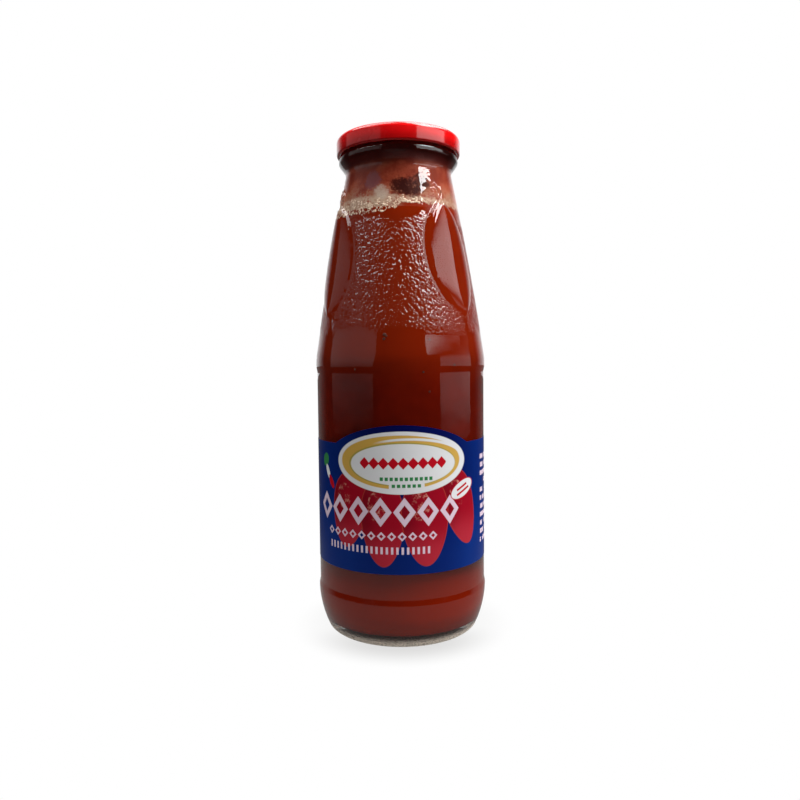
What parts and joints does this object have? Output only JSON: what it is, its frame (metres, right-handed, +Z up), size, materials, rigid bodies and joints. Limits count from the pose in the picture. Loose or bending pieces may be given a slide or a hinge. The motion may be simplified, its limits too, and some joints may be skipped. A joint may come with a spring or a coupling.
{
  "type": "passata bottle",
  "caption": "Clear glass bottle of tomato passata with raised plum tomatoes on its shoulder, a red lug cap and a blue wrap-round paper label with an arched front.",
  "frame": {"origin": "centre of the ring that the bottle stands on, on the table's surface", "axes": "+Z up along the bottle's axis, -Y towards someone who faces the middle of the label, +X to that person's right"},
  "size_m": [0.0776, 0.0776, 0.2225],
  "materials": {
    "glass": "clear, moulded, smooth with a pebbled shoulder",
    "passata": "thick wet tomato puree",
    "cap": "gloss lacquered tinplate",
    "label": "coated paper with a slight sheen"
  },
  "bodies": {
    "root": {"bottle": "glass", "passata": "passata", "cap": "cap", "label": "label"}
  },
  "joints": []
}
